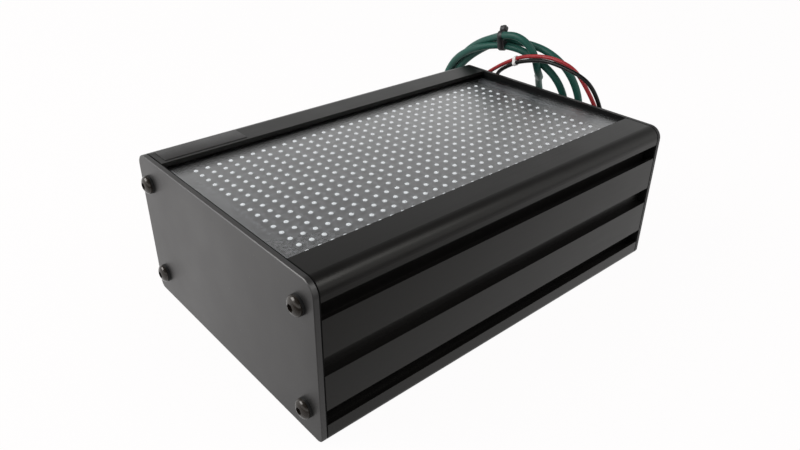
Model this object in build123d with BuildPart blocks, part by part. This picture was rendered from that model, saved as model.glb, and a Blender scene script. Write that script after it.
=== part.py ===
"""LED matrix display in an extruded aluminium case, lying on its back with its screen up.

X runs along the case towards the cable end, Z is up out of the screen. The origin is the middle
of the case's underside. Sizes are in millimetres.
"""

import os
from math import cos, pi, radians, sin, tan

from build123d import *

# Case
case_length = 276.6
case_width = 181.0
case_height = 96.4
plate_thickness = 3.0
plate_edge = 0.4
gasket_thickness = 0.8
gasket_inset = 0.3
gasket_border = 14.0
top_corner = 8.0
base_corner = 4.0
skin = 3.0
slot_wall = 2.5

# Grooves along the two long sides
groove_spacing = 32.3
slot_opening = 9.6
slot_lip = 2.2
slot_depth = 7.0
slot_chamber = 17.0
channel_opening = 11.2
channel_depth = 5.4

# Screen opening, window and LED board
screen_opening = 130.6
window_recess = 2.7
window_thickness = 3.0
window_grip = 4.0
window_end_gap = 0.1
slot_play = 0.1
led_pitch = 7.62
led_columns = 32
led_rows = 16
led_depth = 6.24
led_body = 3.0
led_body_height = 1.4
led_lens_height = 0.6
board_thickness = 1.6
board_grip = 3.5
board_end_gap = 0.3
rail_wall = 2.8
strip_width = 5.0

# Circuits on the back of the LED board
chip_size = (10.0, 6.0, 1.8)
chip_spacing = (30.48, 30.48)
chip_columns = 8
chip_rows = 4

# End screws and washers
screw_inset = 12.5
screw_rise = 31.5
screw_diameter = 6.3
screw_play = 0.05
screw_length = 20.0
screw_hole_play = 0.35
screw_port_wall = 2.2
head_diameter = 11.1
head_height = 3.35
head_rim = 0.5
socket_size = 4.0
socket_depth = 2.0
washer_diameter = 11.2
washer_thickness = 1.5

# Controller board and what stands on it
controller_height = 24.0
controller_length = 90.0
controller_gap = 15.3
controller_grip = 4.0
controller_play = 0.3
controller_rib = 2.0
controller_bed = 1.0
processor_size = (22.0, 22.0, 2.4)
processor_place = (-8.0, 42.0)
capacitor_diameter = 10.0
capacitor_height = 16.0
capacitor_place = (20.0, -62.0)
capacitor_spacing = 13.0
terminal_size = (12.0, 16.0, 13.0)
terminal_bite = 6.0
terminal_setback = 2.0
header_size = (9.0, 36.0, 6.0)
header_place = 45.0
ribbon_socket_height = 6.0
ribbon_width = 32.0
ribbon_thickness = 1.0
ribbon_bulge = 16.0
ribbon_lead = 6.0
ribbon_bend = 5.0

# Cable entries in the far end plate
entry_height = 33.0
data_entry = 34.0
supply_entry = -36.0
data_diameter = 5.6
wire_diameter = 3.0
wire_pitch = 3.3
gland_thread = 12.0
gland_flats = 15.0
gland_flange = 5.0
gland_collar = 6.0
gland_reach = 20.0
gland_nut_grip = 6.8
gland_dome = 6.9
gland_taper = 12.0
gland_play = 0.1
seal_wall = 1.7
seal_length = 5.5
cable_play = 0.3
locknut_flats = 17.0
locknut_thickness = 4.0
thread_tail = 2.0
grommet_neck = 12.0
grommet_flange = 2.0
grommet_rim = 2.2
grommet_round = 0.8

# Coil of data cable, an oval ring that leans towards the case
coil_centre = (162.4, 61.4, 63.1)
coil_lean = 0.2
coil_yaw = 0.12
coil_turn = -32.7
coil_length = 148.4
coil_width = 118.4
coil_thickness = 11.2
coil_edge = 4.2
coil_spread = 0.18
coil_gather = (16.7, 0.0)
tie_angle = 116.0
tie_width = 3.0
tie_thickness = 1.2
tie_head = (5.6, 4.6, 5.0)

# Ends of the cords and the band round the wires
plug_size = (21.5, 11.7, 8.0)
boot_length = 10.0
boot_diameter = 7.8
boot_tip = 6.4
latch_size = (12.0, 3.2, 1.2)
connector_size = (13.0, 20.0, 8.4)
connector_opening = (3.4, 7.0)
connector_rib = 1.2
band_width = 3.0
band_wall = 0.6
band_station = 0.4447

# Routes of the cords, points along their centrelines
data_lead_route = [
    (158.3, 34.0, 33.0),
    (169.3, 34.0, 33.0),
    (180.0, 36.2, 36.9),
    (188.2, 40.7, 44.2),
    (192.5, 46.6, 54.8),
    (191.5, 50.5, 67.4),
    (186.3, 49.7, 79.5),
    (179.1, 45.0, 88.2),
    (172.2, 40.9, 91.4),
    (163.4, 31.1, 93.2),
    (151.5, 25.7, 103.0),
    (147.4, 27.6, 118.7),
    (143.9, 40.4, 128.0),
    (143.5, 56.4, 125.2),
    (147.8, 65.2, 121.6),
]
data_tail_route = [
    (170.5, 90.0, 4.4),
    (176.0, 79.0, 3.2),
    (184.0, 68.5, 3.0),
    (194.0, 59.5, 3.3),
    (205.3, 52.4, 4.0),
    (216.5, 47.9, 4.0),
]
red_route = [
    (140.3, -34.35, 33.0),
    (146.8, -34.35, 33.0),
    (153.3, -34.35, 35.5),
    (158.6, -34.35, 40.6),
    (161.5, -34.35, 47.9),
    (160.8, -34.35, 60.0),
    (157.5, -33.8, 73.3),
    (153.4, -28.3, 89.3),
    (149.8, -19.1, 104.3),
    (147.1, -9.0, 115.2),
    (144.2, 10.0, 118.8),
    (142.7, 28.8, 115.4),
    (143.5, 41.2, 110.5),
    (145.9, 60.6, 99.2),
    (148.9, 79.5, 85.4),
    (150.5, 89.5, 71.0),
    (151.5, 96.0, 54.0),
    (152.5, 98.0, 36.5),
    (153.5, 94.0, 19.5),
    (154.0, 84.0, 6.5),
    (154.2, 70.0, 2.6),
    (153.8, 54.0, 2.3),
    (154.5, 37.5, 4.2),
    (154.5, 22.0, 4.2),
]
black_route = [
    (140.3, -37.65, 33.0),
    (146.5, -37.65, 33.0),
    (152.8, -38.0, 35.3),
    (157.7, -38.1, 39.9),
    (161.0, -38.1, 46.7),
    (161.1, -37.8, 59.0),
    (155.2, -39.5, 72.0),
    (150.7, -37.4, 84.3),
    (146.6, -31.1, 102.1),
    (143.8, -21.3, 111.6),
    (141.9, 0.6, 115.6),
    (141.1, 14.5, 115.9),
    (141.4, 33.2, 110.7),
    (142.3, 43.6, 105.8),
    (144.5, 57.3, 97.1),
    (148.4, 63.7, 89.8),
    (149.3, 76.7, 77.6),
    (150.0, 86.0, 65.5),
    (150.2, 92.0, 50.0),
    (150.2, 93.5, 34.0),
    (150.0, 89.5, 18.0),
    (149.8, 79.5, 6.4),
    (149.6, 66.0, 2.6),
    (149.9, 52.4, 2.3),
    (149.5, 37.0, 4.2),
    (149.5, 22.0, 4.2),
]

# Places worked out from the sizes above
half_length = case_length / 2
half_width = case_width / 2
middle = case_height / 2
body_length = case_length - 2 * (plate_thickness + gasket_thickness)
half_body = body_length / 2
inner_wall = half_width - slot_depth - slot_wall
window_top = case_height - window_recess
window_base = window_top - window_thickness
window_width = screen_opening + 2 * window_grip
board_top = case_height - led_depth - led_lens_height - led_body_height
board_base = board_top - board_thickness
board_width = screen_opening + 2 * board_grip
rail_edge = window_width / 2 + slot_play + rail_wall
rail_base = board_base - slot_play - rail_wall
screw_y = half_width - screw_inset
port_radius = screw_diameter / 2 + screw_play + screw_port_wall
controller_top = controller_height + board_thickness
controller_half = inner_wall - controller_bed - controller_play
controller_end = half_body - controller_gap
controller_middle = controller_end - controller_length / 2
terminal_face = controller_end - terminal_setback
wire_entries = (supply_entry + wire_pitch / 2, supply_entry - wire_pitch / 2)


def cross_plane(x):
    """Return the plane across the case at x, with Y to the right and Z up."""
    return Plane(origin=(x, 0, 0), x_dir=(0, 1, 0), z_dir=(1, 0, 0))


# Outline shared by the extrusion, the gaskets and the end plates
with BuildSketch() as case_profile:
    with Locations((0, middle)):
        Rectangle(case_width, case_height)
    fillet(case_profile.vertices().group_by(Axis.Y)[-1], top_corner)
    fillet(case_profile.vertices().group_by(Axis.Y)[0], base_corner)


def strip_pair(y_range, z_range, mode=Mode.SUBTRACT):
    """Add or cut one rectangle of the section, and its mirror image on the other side."""
    width = y_range[1] - y_range[0]
    height = z_range[1] - z_range[0]
    for side in (-1, 1):
        with Locations((side * sum(y_range) / 2, sum(z_range) / 2)):
            Rectangle(width, height, mode=mode)


def screw_circles(radius, mode):
    """Add or cut a circle at each of the four end screws."""
    with Locations((0, middle)):
        with GridLocations(2 * screw_y, 2 * screw_rise, 2, 2):
            Circle(radius, mode=mode)


# Housing: one extrusion with grooves, screen rails, board slots and screw ports
with BuildPart() as housing:
    with BuildSketch(cross_plane(-half_body)):
        add(case_profile.sketch)
        strip_pair((0, inner_wall), (skin, case_height - skin))
        strip_pair((0, screen_opening / 2), (case_height - 2 * skin, case_height))
        for side in (-1, 1):
            pocket_near = middle + side * (channel_opening / 2 + slot_wall)
            pocket_far = middle + side * (groove_spacing - slot_chamber / 2 - slot_wall)
            strip_pair((inner_wall, half_width - skin), sorted((pocket_near, pocket_far)))
        channel_wall = half_width - channel_depth - slot_wall
        channel_reach = channel_opening / 2 + slot_wall
        strip_pair((inner_wall, channel_wall), (middle - channel_reach, middle + channel_reach))
        strip_pair((screen_opening / 2, rail_edge), (rail_base, case_height), Mode.ADD)
        window_slot = (window_base - slot_play, window_top + slot_play)
        strip_pair((screen_opening / 2, window_width / 2 + slot_play), window_slot)
        board_slot = (board_base - slot_play, board_top + slot_play)
        strip_pair((screen_opening / 2, board_width / 2 + slot_play), board_slot)
        screw_circles(port_radius, Mode.ADD)
        screw_circles(screw_diameter / 2 + screw_play, Mode.SUBTRACT)
        bed = inner_wall - controller_bed
        bed_slot = (controller_height - slot_play, controller_top + slot_play)
        ribs = (bed_slot[0] - controller_rib, bed_slot[1] + controller_rib)
        strip_pair((bed - controller_grip, inner_wall), ribs, Mode.ADD)
        strip_pair((bed - controller_grip, bed), bed_slot)
        for side in (-1, 1):
            slot_middle = middle + side * groove_spacing
            mouth = (slot_middle - slot_opening / 2, slot_middle + slot_opening / 2)
            chamber = (slot_middle - slot_chamber / 2, slot_middle + slot_chamber / 2)
            strip_pair((half_width - slot_lip, half_width), mouth)
            strip_pair((half_width - slot_depth, half_width - slot_lip), chamber)
        channel = (middle - channel_opening / 2, middle + channel_opening / 2)
        strip_pair((half_width - channel_depth, half_width), channel)
    extrude(amount=body_length)
housing.part.label = "housing"

# End plates, the far one with two cable entries
with BuildPart() as near_plate:
    with BuildSketch(cross_plane(-half_length)):
        add(case_profile.sketch)
        screw_circles(screw_diameter / 2 + screw_hole_play, Mode.SUBTRACT)
    extrude(amount=plate_thickness)
    chamfer(near_plate.faces().sort_by(Axis.X)[0].outer_wire().edges(), plate_edge)
near_plate.part.label = "near_plate"

with BuildPart() as cable_plate:
    with BuildSketch(cross_plane(half_length - plate_thickness)):
        add(case_profile.sketch)
        screw_circles(screw_diameter / 2 + screw_hole_play, Mode.SUBTRACT)
        with Locations((data_entry, entry_height)):
            Circle(gland_thread / 2 + gland_play, mode=Mode.SUBTRACT)
        with Locations((supply_entry, entry_height)):
            Circle(grommet_neck / 2, mode=Mode.SUBTRACT)
    extrude(amount=plate_thickness)
    chamfer(cable_plate.faces().sort_by(Axis.X)[-1].outer_wire().edges(), plate_edge)
cable_plate.part.label = "cable_plate"


def gasket_part(x):
    """Return a sealing frame that lies between the extrusion and a plate, its first face at x."""
    with BuildPart() as gasket:
        with BuildSketch(cross_plane(x)):
            add(case_profile.sketch)
            offset(amount=-gasket_inset)
            with Locations((0, middle)):
                opening = (case_width - 4 * gasket_border, case_height - 2 * gasket_border)
                Rectangle(*opening, mode=Mode.SUBTRACT)
            screw_circles(screw_diameter / 2 + screw_hole_play, Mode.SUBTRACT)
        extrude(amount=gasket_thickness)
    return gasket.part


near_gasket = gasket_part(-half_body - gasket_thickness)
near_gasket.label = "near_gasket"
cable_gasket = gasket_part(half_body)
cable_gasket.label = "cable_gasket"

# One button-head screw and one washer, standing on the XY plane
with BuildPart() as end_screw:
    with BuildSketch(Plane.XZ):
        with BuildLine():
            Polyline(
                (0, head_height),
                (0, -screw_length),
                (screw_diameter / 2, -screw_length),
                (screw_diameter / 2, 0),
                (head_diameter / 2, 0),
                (head_diameter / 2, head_rim),
            )
            crown = head_height - head_rim
            EllipticalCenterArc((0, head_rim), head_diameter / 2, crown, arc_size=90)
        make_face()
    revolve(axis=Axis.Z)
    with BuildSketch(Plane.XY.offset(head_height)):
        RegularPolygon(socket_size / 2, 6, major_radius=False)
    extrude(amount=-socket_depth, mode=Mode.SUBTRACT)

with BuildPart() as end_washer:
    with BuildSketch():
        Circle(washer_diameter / 2)
        Circle(screw_diameter / 2 + screw_hole_play, mode=Mode.SUBTRACT)
    extrude(amount=washer_thickness)


def end_group(face, piece):
    """Return four copies of a piece, one at each end screw of the plate whose face is given."""
    with BuildPart(face) as group:
        with GridLocations(2 * screw_y, 2 * screw_rise, 2, 2):
            add(piece)
    return group.part


near_face = Plane(origin=(-half_length, 0, middle), x_dir=(0, 1, 0), z_dir=(-1, 0, 0))
cable_face = Plane(origin=(half_length, 0, middle), x_dir=(0, 1, 0), z_dir=(1, 0, 0))
near_screws = end_group(near_face.offset(washer_thickness), end_screw.part)
near_screws.label = "near_screws"
near_washers = end_group(near_face, end_washer.part)
near_washers.label = "near_washers"
cable_screws = end_group(cable_face.offset(washer_thickness), end_screw.part)
cable_screws.label = "cable_screws"
cable_washers = end_group(cable_face, end_washer.part)
cable_washers.label = "cable_washers"

# Window, held in the upper slots of the two rails
with BuildPart() as window:
    with BuildSketch(Plane.XY.offset(window_base)):
        Rectangle(body_length - 2 * window_end_gap, window_width)
    extrude(amount=window_thickness)
window.part.label = "window"

# LED board with its LEDs in front and its driver circuits behind
with BuildPart() as led_board:
    with BuildSketch(Plane.XY.offset(board_base)):
        Rectangle(body_length - 2 * board_end_gap, board_width)
    extrude(amount=board_thickness)
    with BuildSketch(Plane.XY.offset(board_top)):
        with GridLocations(led_pitch, led_pitch, led_columns, led_rows):
            Rectangle(led_body, led_body)
    extrude(amount=led_body_height)
    with BuildSketch(Plane.XY.offset(board_base)):
        with GridLocations(*chip_spacing, chip_columns, chip_rows):
            Rectangle(chip_size[0], chip_size[1])
    extrude(amount=-chip_size[2])
    with BuildSketch(Plane.XY.offset(board_base)):
        with Locations((header_place, 0)):
            Rectangle(header_size[0], header_size[1])
    extrude(amount=-header_size[2])
led_board.part.label = "led_board"

# Strips that hold the two short ends of the window off the board
with BuildPart() as window_strips:
    strip_middle = half_body - board_end_gap - strip_width / 2
    with BuildSketch(Plane.XY.offset(board_top)):
        with GridLocations(2 * strip_middle, 0, 2, 1):
            Rectangle(strip_width, screen_opening - 2 * slot_play)
    extrude(amount=window_base - board_top)
window_strips.part.label = "window_strips"

# Controller board in the lower slots, with its processor, capacitors and header
with BuildPart() as controller_board:
    with BuildSketch(Plane.XY.offset(controller_height)):
        with Locations((controller_middle, 0)):
            Rectangle(controller_length, 2 * controller_half)
    extrude(amount=board_thickness)
    with BuildSketch(Plane.XY.offset(controller_top)):
        with Locations((controller_middle + processor_place[0], processor_place[1])):
            Rectangle(processor_size[0], processor_size[1])
    extrude(amount=processor_size[2])
    with BuildSketch(Plane.XY.offset(controller_top)):
        with Locations((controller_middle + capacitor_place[0], capacitor_place[1])):
            with GridLocations(capacitor_spacing, 0, 2, 1):
                Circle(capacitor_diameter / 2)
    extrude(amount=capacitor_height)
    with BuildSketch(Plane.XY.offset(controller_top)):
        with Locations((header_place, 0)):
            Rectangle(header_size[0], header_size[1])
    extrude(amount=header_size[2])
controller_board.part.label = "controller_board"


def terminal_block(y, entries, diameter):
    """Return a terminal block at y, with a hole for each conductor in the face by the plate."""
    with BuildPart() as block:
        with BuildSketch(Plane.XY.offset(controller_top)):
            with Locations((terminal_face - terminal_size[0] / 2, y)):
                Rectangle(terminal_size[0], terminal_size[1])
        extrude(amount=terminal_size[2])
        with BuildSketch(cross_plane(terminal_face)):
            with Locations(*[(entry, entry_height) for entry in entries]):
                Circle(diameter / 2)
        extrude(amount=-terminal_bite, mode=Mode.SUBTRACT)
    return block.part


data_terminal = terminal_block(data_entry, [data_entry], data_diameter)
data_terminal.label = "data_terminal"
supply_terminal = terminal_block(supply_entry, wire_entries, wire_diameter)
supply_terminal.label = "supply_terminal"

# Ribbon cable between the two boards, with a socket on each header
lower_header = controller_top + header_size[2]
upper_header = board_base - header_size[2]
with BuildPart() as ribbon_sockets:
    for base in (lower_header, upper_header - ribbon_socket_height):
        with BuildSketch(Plane.XY.offset(base)):
            with Locations((header_place, 0)):
                Rectangle(header_size[0], header_size[1])
        extrude(amount=ribbon_socket_height)
ribbon_sockets.part.label = "ribbon_sockets"

ribbon_start = lower_header + ribbon_socket_height
ribbon_end = upper_header - ribbon_socket_height
with BuildPart() as ribbon_cable:
    with BuildLine(Plane.XZ) as ribbon_path:
        FilletPolyline(
            (header_place, ribbon_start),
            (header_place, ribbon_start + ribbon_lead),
            (header_place - ribbon_bulge, (ribbon_start + ribbon_end) / 2),
            (header_place, ribbon_end - ribbon_lead),
            (header_place, ribbon_end),
            radius=ribbon_bend,
        )
    with BuildSketch(Plane.XY.offset(ribbon_start)):
        with Locations((header_place, 0)):
            Rectangle(ribbon_thickness, ribbon_width)
    sweep()
ribbon_cable.part.label = "ribbon_cable"

# Cable gland: body through the plate, rubber seal, domed nut and a locknut inside
with BuildPart() as gland_body:
    tail_start = half_length - plate_thickness - locknut_thickness - thread_tail
    with BuildSketch(cross_plane(tail_start)):
        with Locations((data_entry, entry_height)):
            Circle(gland_thread / 2)
    extrude(amount=half_length - tail_start)
    with BuildSketch(cross_plane(half_length)):
        with Locations((data_entry, entry_height)):
            RegularPolygon(gland_flats / 2, 6, major_radius=False)
    extrude(amount=gland_flange)
    with BuildSketch(cross_plane(half_length + gland_flange)):
        with Locations((data_entry, entry_height)):
            Circle(gland_thread / 2)
    extrude(amount=gland_collar)
    with BuildSketch(cross_plane(tail_start)):
        with Locations((data_entry, entry_height)):
            Circle(data_diameter / 2 + cable_play)
    extrude(amount=half_length - tail_start + gland_flange + gland_collar, mode=Mode.SUBTRACT)
    with BuildSketch(cross_plane(half_length + gland_flange + gland_collar)):
        with Locations((data_entry, entry_height)):
            Circle(data_diameter / 2 + seal_wall)
    extrude(amount=-seal_length, mode=Mode.SUBTRACT)
gland_body.part.label = "gland_body"

with BuildPart() as gland_seal:
    with BuildSketch(cross_plane(half_length + gland_flange + gland_collar)):
        with Locations((data_entry, entry_height)):
            Circle(data_diameter / 2 + seal_wall)
            Circle(data_diameter / 2, mode=Mode.SUBTRACT)
    extrude(amount=-seal_length)
gland_seal.part.label = "gland_seal"

with BuildPart() as gland_nut:
    nut_start = half_length + gland_flange + gland_play
    with BuildSketch(cross_plane(nut_start)):
        with Locations((data_entry, entry_height)):
            RegularPolygon(gland_flats / 2, 6, major_radius=False)
    extrude(amount=gland_nut_grip)
    with BuildSketch(cross_plane(nut_start + gland_nut_grip)):
        with Locations((data_entry, entry_height)):
            Circle(gland_dome)
    extrude(amount=gland_reach - gland_flange - gland_play - gland_nut_grip, taper=gland_taper)
    with BuildSketch(cross_plane(nut_start)):
        with Locations((data_entry, entry_height)):
            Circle(gland_thread / 2 + gland_play)
    extrude(amount=gland_collar, mode=Mode.SUBTRACT)
    with BuildSketch(cross_plane(nut_start)):
        with Locations((data_entry, entry_height)):
            Circle(data_diameter / 2 + cable_play)
    extrude(amount=gland_reach, mode=Mode.SUBTRACT)
gland_nut.part.label = "gland_nut"

with BuildPart() as gland_locknut:
    with BuildSketch(cross_plane(half_length - plate_thickness)):
        with Locations((data_entry, entry_height)):
            RegularPolygon(locknut_flats / 2, 6, major_radius=False)
            Circle(gland_thread / 2 + gland_play, mode=Mode.SUBTRACT)
    extrude(amount=-locknut_thickness)
gland_locknut.part.label = "gland_locknut"

# Rubber grommet with one slot for both supply wires
with BuildPart() as wire_grommet:
    grommet_start = half_length - plate_thickness - grommet_flange
    with BuildSketch(cross_plane(grommet_start)):
        with Locations((supply_entry, entry_height)):
            Circle(grommet_neck / 2 + grommet_rim)
    extrude(amount=grommet_flange)
    with BuildSketch(cross_plane(half_length - plate_thickness)):
        with Locations((supply_entry, entry_height)):
            Circle(grommet_neck / 2)
    extrude(amount=plate_thickness)
    with BuildSketch(cross_plane(half_length)):
        with Locations((supply_entry, entry_height)):
            Circle(grommet_neck / 2 + grommet_rim)
    extrude(amount=grommet_flange)
    fillet(wire_grommet.faces().sort_by(Axis.X)[-1].outer_wire().edges(), grommet_round)
    with BuildSketch(cross_plane(grommet_start)):
        with Locations((supply_entry, entry_height)):
            SlotCenterToCenter(wire_pitch, wire_diameter)
    extrude(amount=plate_thickness + 2 * grommet_flange, mode=Mode.SUBTRACT)
wire_grommet.part.label = "wire_grommet"


def inner_lead(y, diameter, end):
    """Return the straight length of a cord between its terminal block and x = end."""
    start = terminal_face - terminal_bite
    with BuildPart() as lead:
        with BuildSketch(cross_plane(start)):
            with Locations((y, entry_height)):
                Circle(diameter / 2)
        extrude(amount=end - start)
    return lead.part


data_inner_lead = inner_lead(data_entry, data_diameter, half_length + gland_reach)
data_inner_lead.label = "data_inner_lead"
red_inner_lead = inner_lead(wire_entries[0], wire_diameter, half_length + grommet_flange)
red_inner_lead.label = "red_inner_lead"
black_inner_lead = inner_lead(wire_entries[1], wire_diameter, half_length + grommet_flange)
black_inner_lead.label = "black_inner_lead"


def cord_path(name, route):
    """Return a route's straight runs joined by the widest tangent arcs, and print the radii."""
    points = [Vector(*point) for point in route]
    radii = []
    for before, corner, after in zip(points, points[1:], points[2:]):
        turn = radians((corner - before).get_angle(after - corner))
        run = min((corner - before).length, (after - corner).length)
        radii.append(0.45 * run / tan(turn / 2))
    print(name, "radii", [round(radius, 1) for radius in radii])
    with BuildLine() as line:
        FilletPolyline(*route, radius=radii)
    return line.wire()


def cord_tube(name, path, diameter):
    """Return a round cord along a path, labelled, and print how its volume fits its length."""
    with BuildPart() as tube:
        with BuildSketch(Plane(origin=path @ 0, z_dir=path % 0)):
            Circle(diameter / 2)
        sweep(path=path)
    section = tube.part.volume / (pi * diameter**2 / 4)
    print(name, "length", round(path.length, 1), "volume over section", round(section, 1))
    tube.part.label = name
    return tube.part


red_path = cord_path("red_wire", red_route)
black_path = cord_path("black_wire", black_route)
data_lead = cord_tube("data_lead", cord_path("data_lead", data_lead_route), data_diameter)
data_tail = cord_tube("data_tail", cord_path("data_tail", data_tail_route), data_diameter)
red_wire = cord_tube("red_wire", red_path, wire_diameter)
black_wire = cord_tube("black_wire", black_path, wire_diameter)

# Coil: the oval outer outline, less a smaller oval drawn in towards the gather point
coil_normal = Vector(1, coil_yaw, coil_lean)
coil_level = Vector(0, 0, 1).cross(coil_normal)
coil_axis = coil_level.rotate(Axis((0, 0, 0), coil_normal), coil_turn)
coil_plane = Plane(origin=coil_centre, x_dir=coil_axis, z_dir=coil_normal)
with BuildPart() as data_coil:
    with BuildSketch(coil_plane):
        Ellipse(coil_length / 2, coil_width / 2)
        with Locations((coil_gather[0] * coil_spread, coil_gather[1] * coil_spread)):
            inner_share = (1 - coil_spread) / 2
            Ellipse(coil_length * inner_share, coil_width * inner_share, mode=Mode.SUBTRACT)
    extrude(amount=coil_thickness / 2, both=True)
    chamfer(data_coil.edges(), coil_edge)
data_coil.part.label = "data_coil"

# Cable tie round the bundle, with its head on the outside
tie_point = Vector(
    coil_length / 2 * cos(radians(tie_angle)), coil_width / 2 * sin(radians(tie_angle))
)
tie_outward = Vector(
    coil_width / 2 * cos(radians(tie_angle)), coil_length / 2 * sin(radians(tie_angle))
).normalized()
bundle_height = coil_spread * (tie_point - Vector(*coil_gather)).dot(tie_outward)
tie_middle = tie_point - tie_outward * (bundle_height / 2)
tie_along = Vector(-tie_outward.Y, tie_outward.X)
tie_plane = Plane(
    origin=coil_plane.from_local_coords(tie_middle),
    x_dir=coil_plane.z_dir,
    z_dir=coil_plane.from_local_coords(tie_along) - coil_plane.origin,
)
with BuildPart() as cable_tie:
    with BuildSketch(tie_plane):
        outer = (coil_thickness + 2 * tie_thickness, bundle_height + 2 * tie_thickness)
        RectangleRounded(*outer, coil_edge)
    extrude(amount=tie_width / 2, both=True)
    with BuildSketch(tie_plane):
        with Locations((0, (bundle_height + tie_head[1] + tie_thickness) / 2)):
            Rectangle(tie_head[0], tie_head[1])
    extrude(amount=tie_head[2] / 2, both=True)
    add(data_coil.part, mode=Mode.SUBTRACT)
    add(data_lead, mode=Mode.SUBTRACT)
cable_tie.part.label = "cable_tie"

# Plug on the data cable, lying on the surface that the case stands on
plug_run = Vector(*data_tail_route[-1]) - Vector(*data_tail_route[-2])
plug_plane = Plane(origin=data_tail_route[-1], x_dir=(0, 0, 1), z_dir=plug_run)
with BuildPart() as data_plug:
    with BuildSketch(plug_plane):
        Circle(boot_tip / 2)
    with BuildSketch(plug_plane.offset(boot_length)):
        Circle(boot_diameter / 2)
    loft()
    with BuildSketch(plug_plane.offset(boot_length)):
        Rectangle(plug_size[2], plug_size[1])
    extrude(amount=plug_size[0])
    with BuildSketch(plug_plane.offset(boot_length + plug_size[0] - latch_size[0])):
        with Locations(((plug_size[2] + latch_size[2]) / 2, 0)):
            Rectangle(latch_size[2], latch_size[1])
    extrude(amount=latch_size[0])
data_plug.part.label = "data_plug"

# Two-pole connector on the supply wires
with BuildPart() as supply_connector:
    connector_x = (red_route[-1][0] + black_route[-1][0]) / 2
    connector_plane = Plane(
        origin=(connector_x, red_route[-1][1], 0), x_dir=(1, 0, 0), z_dir=(0, -1, 0)
    )
    with BuildSketch(connector_plane):
        with Locations((0, connector_size[2] / 2)):
            Rectangle(connector_size[0], connector_size[2])
    extrude(amount=connector_size[1])
    fillet(supply_connector.edges().filter_by(Axis.Y), connector_rib)
    with BuildSketch(connector_plane.offset(connector_size[1])):
        wire_gap = red_route[-1][0] - black_route[-1][0]
        with Locations((0, connector_size[2] / 2)):
            with GridLocations(wire_gap, 0, 2, 1):
                Rectangle(connector_opening[0], connector_opening[0])
    extrude(amount=-connector_opening[1], mode=Mode.SUBTRACT)
supply_connector.part.label = "supply_connector"

# Band that holds the two supply wires together
band_red = red_path @ band_station
band_black = black_path.closest_points(band_red)[0]
band_across = band_red - band_black
band_plane = Plane(
    origin=(band_red + band_black) / 2, x_dir=band_across, z_dir=red_path % band_station
)
with BuildPart() as wire_band:
    with BuildSketch(band_plane):
        SlotCenterToCenter(band_across.length, wire_diameter + 2 * band_wall)
    extrude(amount=band_width / 2, both=True)
    add(red_wire, mode=Mode.SUBTRACT)
    add(black_wire, mode=Mode.SUBTRACT)
wire_band.part.label = "wire_band"

os.makedirs("parts", exist_ok=True)
pieces = [
    housing.part,
    near_plate.part,
    cable_plate.part,
    near_gasket,
    cable_gasket,
    near_screws,
    near_washers,
    cable_screws,
    cable_washers,
    window.part,
    window_strips.part,
    led_board.part,
    controller_board.part,
    data_terminal,
    supply_terminal,
    ribbon_sockets.part,
    ribbon_cable.part,
    gland_body.part,
    gland_seal.part,
    gland_nut.part,
    gland_locknut.part,
    wire_grommet.part,
    data_inner_lead,
    red_inner_lead,
    black_inner_lead,
    data_lead,
    data_coil.part,
    data_tail,
    cable_tie.part,
    data_plug.part,
    red_wire,
    black_wire,
    supply_connector.part,
    wire_band.part,
]
for piece in pieces:
    export_step(piece, f"parts/{piece.label}.step")
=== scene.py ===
"""Look of the LED matrix display: its finishes, LEDs, label plate, cables and their fittings.

X runs along the case towards the cable end, Z is up out of the screen. Lengths are in metres.
"""

import logging
import math
from contextlib import contextmanager
from dataclasses import dataclass
from enum import IntEnum
from typing import Callable, Iterator, Sequence

import bpy
from mathutils import Matrix, Vector


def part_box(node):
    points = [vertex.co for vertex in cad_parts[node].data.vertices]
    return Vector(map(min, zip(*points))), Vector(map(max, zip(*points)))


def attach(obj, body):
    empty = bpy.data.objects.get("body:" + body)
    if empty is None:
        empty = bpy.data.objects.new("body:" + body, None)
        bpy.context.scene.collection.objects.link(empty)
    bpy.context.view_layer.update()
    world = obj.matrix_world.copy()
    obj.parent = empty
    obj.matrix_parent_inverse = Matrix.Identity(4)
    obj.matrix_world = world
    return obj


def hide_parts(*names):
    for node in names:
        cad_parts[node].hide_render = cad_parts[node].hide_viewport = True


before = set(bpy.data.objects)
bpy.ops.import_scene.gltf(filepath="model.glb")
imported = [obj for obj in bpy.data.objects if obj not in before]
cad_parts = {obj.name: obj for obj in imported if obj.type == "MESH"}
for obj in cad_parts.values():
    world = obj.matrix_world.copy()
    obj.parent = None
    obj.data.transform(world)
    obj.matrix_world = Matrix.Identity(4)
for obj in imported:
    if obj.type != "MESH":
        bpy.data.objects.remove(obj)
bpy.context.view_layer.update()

MM = 0.001
BODY = "root"
# A face is picked by its place to within this distance
SLIVER = 0.01 * MM
# A face looks along an axis where this much of its unit normal does
FACING = 0.9
log = logging.getLogger("led_display")

Piece = bpy.types.Object
Material = bpy.types.Material
Node = bpy.types.Node
Socket = bpy.types.NodeSocket
Point = tuple[float, float, float]
Colour = tuple[float, float, float]
Span = tuple[float, float]
# Low and high values of a noise, and of two noises added up
NOISE: Span = (0.3, 0.7)
TWO_NOISES: Span = (0.7, 1.3)


class Axis(IntEnum):
    """A direction of the case."""

    X = 0
    Y = 1
    Z = 2


def tinted(colour: Colour, factor: float) -> Colour:
    """Return a colour made lighter or darker by a factor."""
    return tuple(min(1.0, part * factor) for part in colour)


def placed(middle: Vector, *axes: Vector) -> Matrix:
    """Return the matrix that puts a thing at a place, with its X, Y and Z along the axes."""
    return Matrix.Translation(middle) @ Matrix(axes).transposed().to_4x4()


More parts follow.
